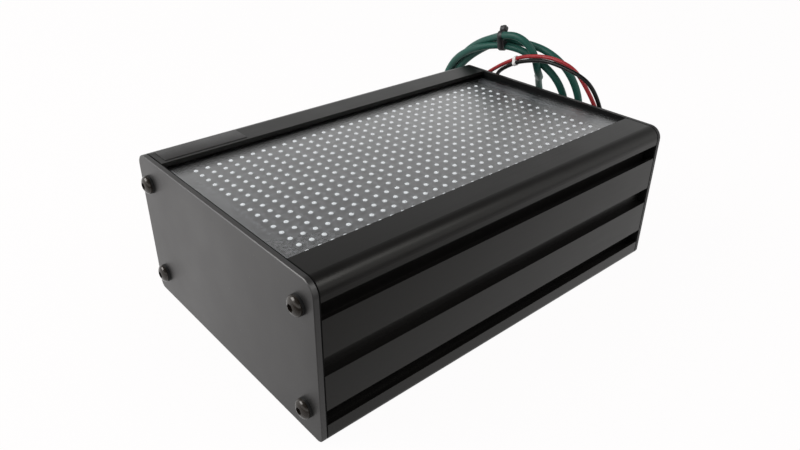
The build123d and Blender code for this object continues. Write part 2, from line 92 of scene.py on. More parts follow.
class Nodes:
    """A node tree, with short calls for the nodes that the finishes share."""

    def __init__(self, tree: bpy.types.NodeTree, output: str) -> None:
        """Empty the tree but for its output and the coordinates.

        Args:
            tree: tree of a material or of the world.
            output: name of the output's type, without ShaderNode.
        """
        self.tree = tree
        tree.nodes.clear()
        self.output = self.add(output)
        self.places = self.add("TexCoord").outputs

    def feed(self, inlet: Socket, value: object) -> None:
        """Link an input to another node, or set it.

        Args:
            inlet: the input.
            value: an output, a number, a vector or a colour.
        """
        if isinstance(value, Socket):
            self.tree.links.new(value, inlet)
        elif inlet.type == "RGBA":
            inlet.default_value = (*value, 1.0)
        else:
            inlet.default_value = value

    def add(self, kind: str, **inputs: object) -> Node:
        """Add a node and set or link its inputs.

        Args:
            kind: name of the node's type, without ShaderNode.
            inputs: values or outputs for the inputs, with _ for a space in a name.

        Returns:
            The new node.
        """
        node = self.tree.nodes.new("ShaderNode" + kind)
        for name, value in inputs.items():
            self.feed(node.inputs[name.replace("_", " ")], value)
        return node

    def show(self, surface: Node) -> None:
        """Link a shader to the output."""
        self.feed(self.output.inputs["Surface"], surface.outputs[0])

    def math(self, operation: str, first: object, second: object = 0.0) -> Socket:
        """Return the result of a math node.

        Args:
            operation: name of the operation.
            first: its first value or output.
            second: its second one.

        Returns:
            The result.
        """
        node = self.add("Math")
        node.operation = operation
        for inlet, value in zip(node.inputs, (first, second)):
            self.feed(inlet, value)
        return node.outputs[0]

    def between(
        self, factor: Socket, low: float, high: object, start: float = NOISE[0], end: float = NOISE[1]
    ) -> Socket:
        """Return a value that goes from low to high while the factor goes from start to end."""
        return self.add("MapRange", Value=factor, From_Min=start, From_Max=end,
                        To_Min=low, To_Max=high).outputs[0]


class Shader(Nodes):
    """A material under construction."""

    def __init__(self, name: str) -> None:
        """Start an empty material.

        Args:
            name: name of the material.
        """
        self.material = bpy.data.materials.new(name)
        self.material.use_nodes = True
        super().__init__(self.material.node_tree, "OutputMaterial")
        self.place = self.places["Object"]

    def parts(self) -> bpy.types.NodeOutputs:
        """Return the object's x, y and z."""
        return self.add("SeparateXYZ", Vector=self.place).outputs

    def noise(self, scale: float, detail: float, along: Point = (1.0, 1.0, 1.0)) -> Socket:
        """Return a noise value.

        Args:
            scale: features for each metre.
            detail: levels of finer noise.
            along: how much each axis is squeezed.

        Returns:
            The noise, from 0 to 1.
        """
        squeezed = self.add("Mapping", Vector=self.place, Scale=along).outputs[0]
        return self.add("TexNoise", Vector=squeezed, Scale=scale, Detail=detail).outputs[0]

    def blend(self, factor: Socket, first: object, second: object) -> Socket:
        """Return a colour mixed from two.

        Args:
            factor: share of the second one, from 0 to 1.
            first: a colour or an output.
            second: another.

        Returns:
            The mixed colour.
        """
        node = self.add("Mix")
        node.data_type = "RGBA"
        for place, value in ((0, factor), (6, first), (7, second)):
            self.feed(node.inputs[place], value)
        return node.outputs[2]

    def shaded(self, factor: Socket, colour: Colour, shades: Span) -> Socket:
        """Return a colour whose brightness goes between two shares of itself, by a factor."""
        return self.blend(factor, tinted(colour, shades[0]), tinted(colour, shades[1]))

    def bump(self, height: Socket, depth: float, below: Socket | None = None) -> Socket:
        """Return a normal raised by a height.

        Args:
            height: value from 0 to 1.
            depth: metres between 0 and 1.
            below: a normal that this one is laid over.

        Returns:
            The new normal.
        """
        node = self.add("Bump", Height=height, Distance=depth, Strength=1.0)
        if below is not None:
            self.feed(node.inputs["Normal"], below)
        return node.outputs[0]

    def layers(self, factor: Socket, first: Node, second: Node) -> None:
        """Link two shaders to the output, mixed by a factor.

        Args:
            factor: share of the second one, from 0 to 1.
            first: a shader.
            second: another.
        """
        mix = self.add("MixShader", Fac=factor)
        self.feed(mix.inputs[1], first.outputs[0])
        self.feed(mix.inputs[2], second.outputs[0])
        self.show(mix)


class Finish:
    """What the finishes share. Their noise is given as features for each metre and detail.

    Shades are the darkest and the palest share of a colour, roughness is the least and the most.
    """

    def paint(self, shader: Shader) -> None:
        """Fill the material, in each finish's own way."""
        raise NotImplementedError

    def build(self, name: str) -> Material:
        """Return the finish as a material.

        Args:
            name: name of the material.

        Returns:
            The material.
        """
        shader = Shader(name)
        self.paint(shader)
        return shader.material


@dataclass(frozen=True)
class AnodisedFinish(Finish):
    """Black anodised extrusion: faint die lines along X under a satin dye layer."""

    colour: Colour = (0.0056, 0.0051, 0.0048)
    shades: Span = (0.8, 1.35)
    roughness: Span = (0.33, 0.4)
    lines: Span = (2600.0, 2.0)
    line_squeeze: Point = (0.012, 1.0, 1.0)
    line_depth: float = 0.0025 * MM
    clouds: Span = (38.0, 4.0)
    grain: Span = (5200.0, 1.0)
    shine: float = 0.31
    shine_tint: Colour = (1.0, 0.985, 0.94)

    def paint(self, shader: Shader) -> None:
        """Fill the material.

        Args:
            shader: material under construction.
        """
        lines = shader.noise(*self.lines, self.line_squeeze)
        cloud = shader.noise(*self.clouds)
        low = shader.bump(shader.noise(*self.grain), self.line_depth / 2)
        worn = shader.math("ADD", lines, cloud)
        shader.show(shader.add(
            "BsdfPrincipled", Base_Color=shader.shaded(cloud, self.colour, self.shades),
            Roughness=shader.between(worn, *self.roughness, *TWO_NOISES),
            Normal=shader.bump(lines, self.line_depth, low),
            Specular_IOR_Level=self.shine, Specular_Tint=self.shine_tint,
        ))


@dataclass(frozen=True)
class PowderCoatFinish(Finish):
    """Black powder coat: a fine even grain with a few pale specks of dust."""

    shine: float = 0.9
    shine_tint: Colour = (1.0, 0.975, 0.965)
    colour: Colour = (0.0105, 0.0102, 0.01)
    shades: Span = (0.85, 1.3)
    roughness: Span = (0.4, 0.48)
    clouds: Span = (22.0, 5.0)
    grain_size: float = 0.55 * MM
    grain_depth: float = 0.024 * MM
    specks: Span = (900.0, 1.0)
    speck_edge: Span = (0.79, 0.84)
    speck_colour: Colour = (0.16, 0.155, 0.15)

    def paint(self, shader: Shader) -> None:
        """Fill the material.

        Args:
            shader: material under construction.
        """
        grain = shader.noise(1.0 / self.grain_size, 2.0)
        cloud = shader.noise(*self.clouds)
        speck = shader.between(shader.noise(*self.specks), 0.0, 1.0, *self.speck_edge)
        plain = shader.shaded(cloud, self.colour, self.shades)
        shader.show(shader.add(
            "BsdfPrincipled", Base_Color=shader.blend(speck, plain, self.speck_colour),
            Roughness=shader.between(cloud, *self.roughness),
            Normal=shader.bump(grain, self.grain_depth),
            Specular_IOR_Level=self.shine, Specular_Tint=self.shine_tint,
        ))


@dataclass(frozen=True)
class SatinFinish(Finish):
    """A moulded or coated surface: one colour, faint clouds and a fine grain.

    Fields:
        colour: base colour.
        mean: mean roughness.
        grain: width and height of a grain, in millimetres.
        metallic: 1 for bare metal.
        shine: specular level.
        glow, and the colour of it: painted light, an emission that makes a milky lens look lit though it is
            no lamp.
        spread: how far the roughness goes below and above its mean.
        clouds: clouds in the width of a grain.
    """

    colour: Colour
    mean: float = 0.5
    grain: Span = (0.5, 0.01)
    metallic: float = 0.0
    shine: float = 0.5
    glow: float = 0.0
    painted_glow_colour: Colour = (1.0, 0.99, 1.0)
    shades: Span = (0.85, 1.15)
    spread: Span = (-0.05, 0.06)
    clouds: float = 0.06

    def paint(self, shader: Shader) -> None:
        """Fill the material.

        Args:
            shader: material under construction.
        """
        size, depth = self.grain[0] * MM, self.grain[1] * MM
        grain = shader.noise(1.0 / size, 2.0)
        cloud = shader.noise(self.clouds / size, 4.0)
        worn = shader.math("ADD", grain, cloud)
        least, most = (self.mean + part for part in self.spread)
        # Emission, where glow is set, is painted light.
        shader.show(shader.add(
            "BsdfPrincipled", Base_Color=shader.shaded(cloud, self.colour, self.shades),
            Roughness=shader.between(worn, least, most, *TWO_NOISES), Metallic=self.metallic,
            Normal=shader.bump(grain, depth), Specular_IOR_Level=self.shine,
            Emission_Color=self.painted_glow_colour, Emission_Strength=self.glow,
        ))


@dataclass(frozen=True)
class WindowFinish(Finish):
    """Clear sheet with a soft sheen, with painted shade: the sheen fades out by place near the far lip and
    the far end plate.

    Fields:
        index: refractive index.
        share: strength of the sheen, next to that of a bare surface.
        most: greatest strength of the sheen, reached at flat angles.
        tint: colour of what shows through.
        roughness: roughness of the sheen.
        end: x at which the sheen has gone, at the far lip.
        painted_end_shade_fade: length over which it comes back from there.
        painted_end_shade_turn: how much the shaded end shortens for each metre away from the far lip.
        painted_shade_turn_start: y from which that is counted.
        side: y at which the sheen has gone.
        painted_lip_shade_fade: width over which it comes back.
        clouds: noise of the haze.
        haze: least and most share of the sheen that the haze leaves.
    """

    index: float = 1.49
    share: float = 2.9
    most: float = 0.46
    tint: Colour = (0.93, 0.945, 0.95)
    roughness: float = 0.36
    end: float = 130.0 * MM
    painted_end_shade_fade: float = 52.0 * MM
    painted_end_shade_turn: float = 0.24
    painted_shade_turn_start: float = 50.0 * MM
    side: float = 62.0 * MM
    painted_lip_shade_fade: float = 15.0 * MM
    clouds: Span = (30.0, 5.0)
    haze: Span = (0.97, 1.03)

    def paint(self, shader: Shader) -> None:
        """Fill the material.

        Args:
            shader: material under construction.
        """
        mirror = shader.add("Fresnel", IOR=self.index).outputs[0]
        behind = shader.add("NewGeometry").outputs["Backfacing"]
        front = shader.math("SUBTRACT", 1.0, behind)
        haze = shader.between(shader.noise(*self.clouds), *self.haze)
        # Painted shade: by place, the sheen fades out towards the far end plate and along the far lip.
        parts = shader.parts()
        inward = shader.math("SUBTRACT", self.painted_shade_turn_start, parts[Axis.Y])
        away = shader.math("SUBTRACT", self.end, parts[Axis.X])
        away = shader.math("ADD", away, shader.math("MULTIPLY", inward, self.painted_end_shade_turn))
        sheen_under_painted_shade = shader.between(away, 0.0, self.share, 0.0, self.painted_end_shade_fade)
        painted_lip_shade_mask = shader.between(parts[Axis.Y], 1.0, 0.0, self.side - self.painted_lip_shade_fade, self.side)
        sheen_under_painted_shade = shader.math("MULTIPLY", sheen_under_painted_shade, painted_lip_shade_mask)
        factor = shader.math("MINIMUM", shader.math("MULTIPLY", mirror, sheen_under_painted_shade), self.most)
        factor = shader.math("MULTIPLY", shader.math("MULTIPLY", factor, front), haze)
        clear = shader.add("BsdfTransparent", Color=self.tint)
        gloss = shader.add("BsdfGlossy", Color=(1.0, 1.0, 1.0), Roughness=self.roughness)
        shader.layers(factor, clear, gloss)


@dataclass(frozen=True)
class LedBoardFinish(Finish):
    """Dark board with painted reflections between its LEDs, a pair of small pale marks for each LED's ghost
    reflections, and the pale bodies of the LEDs.

    Fields:
        pitch: from LED to LED.
        board, painted_reflection_colour, body: the three colours; the second is that of the painted
            reflections.
        body_start: height at which the LED bodies begin.
        painted_reflection_marks: middles of the painted reflections, in pitches from an LED.
        painted_reflection_size: their two sides.
        painted_reflection_edge: shares of a mark's half side between which its edge fades.
        patches: noise of the board's patches, and patch_edge, where they begin and are full.
        shades: brightness of the board between its patches and in them.
        clouds: noise of the roughness.
        grain, grain_depth: noise and height of the fine grain.
    """

    pitch: float = 7.62 * MM
    board: Colour = (0.032, 0.03, 0.031)
    painted_reflection_colour: Colour = (0.16, 0.16, 0.17)
    body: Colour = (0.075, 0.075, 0.08)
    body_start: float = 88.36 * MM
    painted_reflection_marks: tuple[Span, Span] = ((0.5, 0.28), (0.5, 0.72))
    painted_reflection_size: Span = (0.9 * MM, 1.5 * MM)
    painted_reflection_edge: Span = (0.8, 1.2)
    patches: Span = (430.0, 4.0)
    patch_edge: Span = (0.4, 0.64)
    shades: Span = (0.15, 4.6)
    roughness: Span = (0.4, 0.55)
    clouds: Span = (160.0, 4.0)
    grain: Span = (1800.0, 3.0)
    grain_depth: float = 0.01 * MM
    # Whole pitches added to a place, so that it is above zero everywhere
    lift: float = 100.0

    def mark(self, shader: Shader, parts: Sequence[Socket], middle: Span) -> Socket:
        """Return 1 on a soft-edged mark that repeats at the pitch, for the painted reflections.

        Args:
            shader: material under construction.
            parts: the object's x and y, counted from an LED.
            middle: middle of the mark, in pitches from an LED.

        Returns:
            The mask.
        """
        sides = []
        for part, start, side in zip(parts, middle, self.painted_reflection_size):
            steps = shader.math("DIVIDE", part, self.pitch)
            steps = shader.math("ADD", steps, 0.5 - start + self.lift)
            away = shader.math("ABSOLUTE", shader.math("SUBTRACT", shader.math("FRACT", steps), 0.5))
            half = side / self.pitch / 2
            inner, outer = (half * edge for edge in self.painted_reflection_edge)
            sides.append(shader.between(away, 1.0, 0.0, inner, outer))
        return shader.math("MULTIPLY", *sides)

    def paint(self, shader: Shader) -> None:
        """Fill the material.

        Args:
            shader: material under construction.
        """
        parts = shader.parts()
        raised = shader.math("GREATER_THAN", parts[Axis.Z], self.body_start)
        flat = [shader.math("ADD", parts[axis], self.pitch / 2) for axis in (Axis.X, Axis.Y)]
        # Painted reflection: pale marks between the LEDs stand in for ghost reflections of the LEDs in the
        # window.
        painted_reflection_marks = shader.math("MAXIMUM", *(self.mark(shader, flat, middle) for middle in self.painted_reflection_marks))
        patch = shader.between(shader.noise(*self.patches), 0.0, 1.0, *self.patch_edge)
        board = shader.shaded(patch, self.board, self.shades)
        board_with_painted_reflections = shader.blend(painted_reflection_marks, board, self.painted_reflection_colour)
        shader.show(shader.add(
            "BsdfPrincipled", Base_Color=shader.blend(raised, board_with_painted_reflections, self.body),
            Roughness=shader.between(shader.noise(*self.clouds), *self.roughness),
            Normal=shader.bump(shader.noise(*self.grain), self.grain_depth),
        ))


@dataclass(frozen=True)
class SheathFinish(Finish):
    """Extruded cable sheath: satin, with slow waves in its shade and a fine skin.

    Fields:
        colour: base colour.
        mean: mean roughness, and spread, how far it goes below and above that.
        waves: waves of shade for each metre.
        shine: specular level.
        wave_depth, skin_depth: height of the waves and of the skin's grain.
    """

    colour: Colour
    mean: float = 0.42
    waves: float = 120.0
    shine: float = 0.3
    shades: Span = (0.78, 1.25)
    spread: Span = (-0.06, 0.08)
    wave_depth: float = 0.08 * MM
    skin: Span = (2600.0, 2.0)
    skin_depth: float = 0.008 * MM

    def paint(self, shader: Shader) -> None:
        """Fill the material.

        Args:
            shader: material under construction.
        """
        wave = shader.noise(self.waves, 3.0)
        low = shader.bump(wave, self.wave_depth)
        least, most = (self.mean + part for part in self.spread)
        shader.show(shader.add(
            "BsdfPrincipled", Base_Color=shader.shaded(wave, self.colour, self.shades),
            Roughness=shader.between(wave, least, most),
            Normal=shader.bump(shader.noise(*self.skin), self.skin_depth, low),
            Specular_IOR_Level=self.shine,
        ))


class Workshop:
    """Modelling steps that the pieces share."""

    @staticmethod
    def pick(*pieces: Piece) -> None:
        """Leave edit mode and select some pieces only.

        Args:
            pieces: the pieces, the first of which becomes active, or none.
        """
        if bpy.context.object is not None and bpy.context.object.mode != "OBJECT":
            bpy.ops.object.mode_set(mode="OBJECT")
        bpy.ops.object.select_all(action="DESELECT")
        for piece in pieces:
            piece.select_set(True)
        if pieces:
            bpy.context.view_layer.objects.active = pieces[0]

    @staticmethod
    def settled(piece: Piece) -> Piece:
        """Put a piece's place, turn and scale into its mesh.

        Args:
            piece: the piece.

        Returns:
            The same piece.
        """
        Workshop.pick(piece)
        bpy.ops.object.transform_apply(location=True, rotation=True, scale=True)
        return piece

    @staticmethod
    def block(name: str, low: Sequence[float], high: Sequence[float]) -> Piece:
        """Return a block between two corners.

        Args:
            name: name of the piece.
            low: its lowest corner.
            high: its highest corner.

        Returns:
            The piece.
        """
        Workshop.pick()
        low, high = Vector(low), Vector(high)
        bpy.ops.mesh.primitive_cube_add(size=1.0, location=(low + high) / 2)
        piece = bpy.context.object
        piece.name = name
        piece.scale = high - low
        return Workshop.settled(piece)

    @staticmethod
    def rod(
        name: str, start: Sequence[float], end: Sequence[float], radius: float, sides: int
    ) -> Piece:
        """Return a rod between two points.

        Args:
            name: name of the piece.
            start: middle of its first end.
            end: middle of its second end.
            radius: its radius.
            sides: faces round it.

        Returns:
            The piece.
        """
        Workshop.pick()
        start, end = Vector(start), Vector(end)
        run = end - start
        bpy.ops.mesh.primitive_cylinder_add(
            vertices=sides, radius=radius, depth=run.length, location=(start + end) / 2,
            rotation=run.to_track_quat("Z", "Y").to_euler(),
        )
        piece = bpy.context.object
        piece.name = name
        return Workshop.settled(piece)

    @staticmethod
    @contextmanager
    def faces(piece: Piece, wanted: Callable[[bpy.types.MeshPolygon], bool]) -> Iterator[None]:
        """Open a piece in edit mode with only some faces selected, and close it afterwards.

        Args:
            piece: the piece.
            wanted: tells whether a face is selected.

        Returns:
            What a with statement takes.
        """
        Workshop.pick(piece)
        bpy.ops.object.mode_set(mode="EDIT")
        bpy.ops.mesh.select_mode(type="FACE")
        bpy.ops.mesh.select_all(action="DESELECT")
        bpy.ops.object.mode_set(mode="OBJECT")
        for face in piece.data.polygons:
            face.select = wanted(face)
        bpy.ops.object.mode_set(mode="EDIT")
        yield
        bpy.ops.object.mode_set(mode="OBJECT")

    @staticmethod
    def pushed(step: Point) -> None:
        """Extrude the selected faces by a step."""
        bpy.ops.mesh.extrude_region_move(TRANSFORM_OT_translate={"value": step})

    @staticmethod
    def modified(piece: Piece, kind: str, **settings: object) -> None:
        """Add a modifier to a piece and apply it.

        Args:
            piece: the piece.
            kind: the modifier's type.
            settings: its settings.
        """
        Workshop.pick(piece)
        modifier = piece.modifiers.new(kind.title(), kind)
        for name, value in settings.items():
            setattr(modifier, name, value)
        bpy.ops.object.modifier_apply(modifier=modifier.name)

    @staticmethod
    def repeated(piece: Piece, count: int, step: Point) -> None:
        """Repeat a piece a number of times, a step apart."""
        Workshop.modified(piece, "ARRAY", count=count, use_relative_offset=False,
                          use_constant_offset=True, constant_offset_displace=step)

    @staticmethod
    def bevelled(piece: Piece, width: float, segments: int) -> None:
        """Round a piece's sharp edges."""
        Workshop.modified(piece, "BEVEL", width=width, segments=segments, limit_method="ANGLE")

    @staticmethod
    def smooth(piece: Piece, angle: float = 35.0) -> None:
        """Smooth the faces that meet at less than an angle, in degrees."""
        Workshop.pick(piece)
        bpy.ops.object.shade_smooth_by_angle(angle=math.radians(angle))

    @staticmethod
    def rounded(piece: Piece, width: float, segments: int = 2) -> None:
        """Round a piece's sharp edges and smooth its faces."""
        Workshop.bevelled(piece, width, segments)
        Workshop.smooth(piece)

    @staticmethod
    def turned(piece: Piece, place: Matrix) -> None:
        """Move a piece from its own axes to a place on the object."""
        piece.matrix_world = place
        Workshop.settled(piece)

    @staticmethod
    def joined(*pieces: Piece) -> Piece:
        """Join several meshes.

        Args:
            pieces: the meshes.

        Returns:
            One mesh, under the first one's name.
        """
        Workshop.pick(*pieces)
        bpy.ops.object.join()
        return bpy.context.object

    @staticmethod
    def covered(piece: Piece, material: Material) -> None:
        """Give a piece its material."""
        piece.data.materials.clear()
        piece.data.materials.append(material)

    @staticmethod
    def dress(piece: Piece, material: Material, slot: str) -> None:
        """Give a new piece its material and its body.

        Args:
            piece: the piece.
            material: its material.
            slot: name of a slot in the record; not used.
        """
        Workshop.covered(piece, material)
        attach(piece, BODY)
        log.info("%s made", piece.name)


class Finishes:
    """All materials of the display, made once."""

    def __init__(self) -> None:
        """Build each finish."""
        self.case = AnodisedFinish().build("case_anodised")
        self.plate = PowderCoatFinish().build("near_plate_coating")
        # Painted shade: the far plate has the same coat as the near one with less shine, so that it shows
        # darker.
        self.far_plate_with_painted_shade = PowderCoatFinish(0.33).build("far_plate_coating_painted_shade")
        self.window = WindowFinish().build("window_clear")
        self.leds = LedBoardFinish().build("led_board_dark")
        self.green = SheathFinish((0.01, 0.074, 0.056), 0.46).build("sheath_green")
        self.red = SheathFinish((0.32, 0.022, 0.026), 0.36, 160.0).build("insulation_red")
        self.black = SheathFinish((0.004, 0.0045, 0.004), 0.34, 160.0, 0.22).build("insulation_black")
        self.label = SatinFinish((0.02, 0.0185, 0.018), 0.42, (0.9, 0.006), shine=0.62).build("label_sheet")
        gasket = SatinFinish((0.004, 0.004, 0.004), 0.75, (0.3, 0.02), shine=0.12)
        self.gasket = gasket.build("gasket_sheet")
        screw = SatinFinish((0.022, 0.0165, 0.012), 0.2, (0.4, 0.003), metallic=0.35, shine=0.8)
        self.screw = screw.build("screw_black")
        self.washer = SatinFinish((0.01, 0.01, 0.01), 0.5, (0.3, 0.01)).build("washer_black")
        self.strip = SatinFinish((0.1, 0.1, 0.106), 0.55, (0.6, 0.01)).build("strip_grey")
        # Painted light: the white LED domes get a faint glow, though they are no lamp.
        self.lens = SatinFinish((0.93, 0.93, 0.94), 0.35, (0.4, 0.004), glow=0.24).build("led_lens_white")
        self.circuit = SatinFinish((0.01, 0.09, 0.04), 0.35, (0.8, 0.01)).build("circuit_green")
        self.terminal = SatinFinish((0.02, 0.02, 0.022), 0.45).build("terminal_black")
        self.ribbon = SatinFinish((0.33, 0.33, 0.34), 0.5, (1.27, 0.05)).build("ribbon_grey")
        self.gland = SatinFinish((0.016, 0.016, 0.017), 0.4, (0.35, 0.012)).build("gland_black")
        self.rubber = SatinFinish((0.012, 0.012, 0.012), 0.65, (0.3, 0.02)).build("rubber_black")
        self.tie = SatinFinish((0.008, 0.008, 0.009), 0.45, (0.3, 0.015)).build("tie_black")
        self.band = SatinFinish((0.78, 0.76, 0.74), 0.6, (0.4, 0.02)).build("band_white")
        self.plug = SatinFinish((0.02, 0.02, 0.022), 0.28, (0.4, 0.006)).build("plug_black")
        contact = SatinFinish((0.75, 0.53, 0.2), 0.25, (0.2, 0.002), metallic=1.0)
        self.contact = contact.build("contact_gold")
        self.metal = SatinFinish((0.6, 0.6, 0.58), 0.3, (0.2, 0.002), metallic=1.0).build("socket_tin")


@dataclass
class CaseLook:
    """Gives the nodes of the case, the boards and the fittings their finishes."""

    finishes: Finishes

    def build(self) -> None:
        """Assign the finishes."""
        made = self.finishes
        nodes_of = (
            (made.case, ("housing",)),
            (made.plate, ("near_plate",)),
            (made.far_plate_with_painted_shade, ("cable_plate",)),
            (made.gasket, ("near_gasket", "cable_gasket")),
            (made.screw, ("near_screws", "cable_screws")),
            (made.washer, ("near_washers", "cable_washers")),
            (made.window, ("window",)),
            (made.strip, ("window_strips",)),
            (made.leds, ("led_board",)),
            (made.circuit, ("controller_board",)),
            (made.terminal, ("data_terminal", "supply_terminal", "ribbon_sockets")),
            (made.ribbon, ("ribbon_cable",)),
            (made.gland, ("gland_body", "gland_nut", "gland_locknut")),
            (made.rubber, ("gland_seal", "wire_grommet")),
            (made.green, ("data_inner_lead",)),
            (made.red, ("red_inner_lead",)),
            (made.black, ("black_inner_lead",)),
            (made.band, ("wire_band",)),
        )
        for material, names in nodes_of:
            for name in names:
                Workshop.covered(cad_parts[name], material)
                log.info("%s dressed", name)


@dataclass
class LedLenses:
    """The white domes of the LEDs, one above each block of the LED board."""

    finishes: Finishes
    columns: int = 32
    rows: int = 16
    pitch: float = 7.62 * MM
    radius: float = 1.36 * MM
    height: float = 0.75 * MM
    sides: int = 14
    # The rim as a share of the height, then the inset and the rise of each step above it, as shares
    # of the radius and of the height
    rim: float = 0.4
    steps: tuple[Span, Span] = ((0.28, 0.36), (0.34, 0.2))
    smooth_angle: float = 50.0

    def build(self) -> Piece:
        """Return the domes: one is modelled, then repeated along both directions.

        Returns:
            The domes.
        """
        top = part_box("led_board")[1][Axis.Z]
        x, y = (-(count - 1) * self.pitch / 2 for count in (self.columns, self.rows))
        rim = top + self.height * self.rim
        dome = Workshop.rod("led_lenses", (x, y, top), (x, y, rim), self.radius, self.sides)
        with Workshop.faces(dome, lambda face: face.center.z > rim - SLIVER):
            for inset, rise in self.steps:
                bpy.ops.mesh.inset(thickness=self.radius * inset)
                bpy.ops.transform.translate(value=(0.0, 0.0, self.height * rise))
            bpy.ops.mesh.poke()
        Workshop.repeated(dome, self.columns, (self.pitch, 0.0, 0.0))
        Workshop.repeated(dome, self.rows, (0.0, self.pitch, 0.0))
        Workshop.smooth(dome, self.smooth_angle)
        Workshop.dress(dome, self.finishes.lens, "led_board")
        return dome


@dataclass
class LabelPlate:
    """Thin blank plate on the far lip, near the plain end."""

    finishes: Finishes
    low: Span = (-131.0 * MM, 68.0 * MM)
    high: Span = (-77.0 * MM, 82.0 * MM)
    thickness: float = 0.35 * MM
    corner: float = 1.2 * MM

    def build(self) -> Piece:
        """Return the plate: a thin block with rounded edges.

        Returns:
            The plate.
        """
        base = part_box("housing")[1][Axis.Z]
        plate = Workshop.block("label_plate", (*self.low, base), (*self.high, base + self.thickness))
        Workshop.rounded(plate, self.corner, 4)
        Workshop.dress(plate, self.finishes.label, "coated_plate")
        return plate


@dataclass
class Cord:
    """A free cable or wire: one smooth curve through a route's control points."""

    name: str
    diameter: float
    material: Material
    slot: str

    def build(self, route: Sequence[Point]) -> Piece:
        """Return the cord as a curve with a round section.

        Args:
            route: its control points, from the case on.

        Returns:
            The cord.
        """
        data = bpy.data.curves.new(self.name, "CURVE")
        data.dimensions = "3D"
        data.resolution_u = 6
        data.bevel_depth = self.diameter / 2
        data.bevel_resolution = 5
        data.use_fill_caps = True
        spline = data.splines.new("NURBS")
        spline.points.add(len(route) - 1)
        for point, place in zip(spline.points, route):
            point.co = (*place, 1.0)
        spline.order_u = 3
        spline.use_endpoint_u = True
        spline.use_smooth = True
        piece = bpy.data.objects.new(self.name, data)
        bpy.context.scene.collection.objects.link(piece)
        Workshop.dress(piece, self.material, self.slot)
        return piece


@dataclass
class DataCoil:
    """The tied coil: where its turns run, in a leaning oval ring.

    A place on the ring is an angle, an inset from the outermost strand and a shift along the
    ring's own axis, away from the case.
    """

    centre: Point = (0.1624, 0.0614, 0.0631)
    yaw: float = 0.12
    lean: float = 0.2
    turn: float = -32.7
    half_length: float = 71.4 * MM
    half_width: float = 56.4 * MM
    steps: int = 18
    start_angle: float = 112.0
    end_angle: float = -751.0
    # Turns done, inset and shift, in millimetres
    lay: tuple[Point, ...] = (
        (0.0, 0.2, -3.0), (0.056, 0.8, 0.8), (0.11, 1.4, 2.6), (0.17, 1.3, 2.9), (0.25, 1.2, 2.4),
        (0.34, 0.5, -1.8), (0.42, 0.5, -5.0), (0.475, 0.3, -1.2), (0.53, 1.4, 1.6),
        (0.58, 4.0, 1.9), (0.66, 9.0, 0.0), (0.75, 12.9, -0.7), (0.87, 12.8, -0.8),
        (1.0, 5.6, -2.2), (1.056, 2.7, -5.4), (1.11, 0.2, -4.0), (1.17, 0.2, -3.4),
        (1.25, 0.8, -4.0), (1.34, 4.2, -6.8), (1.42, 6.6, -6.2), (1.475, 5.4, -6.2),
        (1.53, 1.9, -5.2), (1.58, 0.0, -4.2), (1.66, 0.0, -2.5), (1.75, 0.0, -0.5),
        (1.83, 0.2, 0.4), (1.889, 1.8, 1.4), (1.944, 5.0, 3.2), (2.0, 5.0, 4.6), (2.056, 6.6, 3.4),
        (2.11, 6.3, -0.6), (2.17, 6.4, -1.2), (2.25, 6.9, -1.3), (2.34, 5.6, 2.2),
        (2.42, 3.6, 2.6),
    )

    def axes(self) -> tuple[Vector, Vector, Vector]:
        """Return the ring's directions.

        Returns:
            Its long axis, its short axis and its normal.
        """
        normal = Vector((1.0, self.yaw, self.lean)).normalized()
        level = Vector((0.0, 0.0, 1.0)).cross(normal).normalized()
        along = Matrix.Rotation(math.radians(self.turn), 3, normal) @ level
        return along, normal.cross(along), normal

    def place(self, angle: float, inset: float, shift: float, outward: float = 1.0) -> Vector:
        """Return a point of the ring.

        Args:
            angle: degrees round the ring.
            inset: metres in from the outermost strand.
            shift: metres along the ring's axis.
            outward: factor on the ring's two half sizes.

        Returns:
            The point.
        """
        along, across, normal = self.axes()
        turned = math.radians(angle)
        reach = (self.half_length - inset) * outward, (self.half_width - inset) * outward
        flat = along * (reach[0] * math.cos(turned)) + across * (reach[1] * math.sin(turned))
        return Vector(self.centre) + flat + normal * shift

    def strand(self, turns: float) -> Span:
        """Return where the strand lies, eased between the stations of the lay.

        Args:
            turns: turns done from the coil's start.

        Returns:
            The inset and the shift, in millimetres.
        """
        for before, after in zip(self.lay, self.lay[1:]):
            if turns <= after[0]:
                share = (turns - before[0]) / (after[0] - before[0])
                eased = share * share * (3 - 2 * share)
                return tuple(a + (b - a) * eased for a, b in zip(before[1:], after[1:]))
        return self.lay[-1][1:]

    def points(self) -> list[Vector]:
        """Return the control points of the turns, a little outside the line that they give.

        Returns:
            The points.
        """
        step = 360.0 / self.steps
        outward = 1 / math.cos(math.radians(step / 2))
        count = int((self.start_angle - self.end_angle) / step)
        route = []
        for number in range(1, count + 1):
            angle = self.start_angle - number * step
            inset, shift = self.strand(number / self.steps)
            route.append(self.place(angle, inset * MM, shift * MM, outward))
        return route


